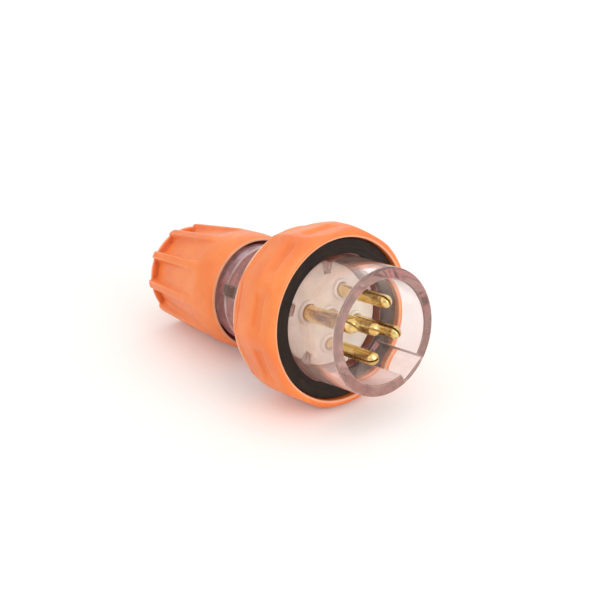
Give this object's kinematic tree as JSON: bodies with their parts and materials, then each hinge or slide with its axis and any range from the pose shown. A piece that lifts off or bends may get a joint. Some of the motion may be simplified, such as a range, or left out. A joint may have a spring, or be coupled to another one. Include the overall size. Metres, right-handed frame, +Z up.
{
  "type": "industrial plug",
  "caption": "Straight industrial plug: clear skirt round split pins, ten-sided lock ring that turns, and a ridged cable gland nut that unscrews.",
  "frame": {"origin": "middle of the bounding box's bottom face, on the surface that the plug lies on", "axes": "+Z up, +X along the plug's length towards the pins, whose axis rises about 8 degrees to +X"},
  "size_m": [0.137, 0.0736, 0.0711],
  "materials": {
    "clear_polycarbonate": "clear, polished moulding",
    "orange_nylon": "satin orange moulding",
    "black_rubber": "matt black",
    "cream_moulding": "satin cream moulding",
    "brass": "bright turned brass",
    "plated_steel": "zinc plated",
    "white_nylon": "natural"
  },
  "bodies": {
    "shell": {"front_shroud": "clear_polycarbonate", "sealing_gasket": "black_rubber", "pin_carrier": "cream_moulding", "earth_pin": "brass", "earth_screw": "plated_steel", "line_1_pin": "brass", "line_1_screw": "plated_steel", "line_2_pin": "brass", "line_2_screw": "plated_steel", "line_3_pin": "brass", "line_3_screw": "plated_steel", "neutral_pin": "brass", "neutral_screw": "plated_steel", "rear_body": "clear_polycarbonate", "body_seal": "black_rubber", "fixing_screw_1": "plated_steel", "fixing_screw_2": "plated_steel", "fixing_screw_3": "plated_steel", "fixing_screw_4": "plated_steel", "cable_grommet": "black_rubber"},
    "ring": {"lock_ring": "orange_nylon"},
    "washer": {"slip_washer": "white_nylon"},
    "nut": {"gland_nut": "orange_nylon"}
  },
  "joints": [
    {"name": "lock_ring_turn", "type": "hinge", "parent": "shell", "child": "ring", "pos_m": [0.02831, 0, 0.03467], "axis": [-0.9894, 0, -0.1452], "continuous": true},
    {"name": "gland_nut_travel", "type": "slide", "parent": "shell", "child": "washer", "axis": [-0.9894, 0, -0.1452], "range_m": [0, 0.012]},
    {"name": "gland_nut_turn", "type": "hinge", "parent": "washer", "child": "nut", "pos_m": [-0.03897, 0, 0.0248], "axis": [-0.9894, 0, -0.1452], "range_deg": [0, 1440]}
  ],
  "couplings": [
    {"joint": "gland_nut_travel", "follows": "gland_nut_turn", "m_per_rad": 0.00047746}
  ]
}
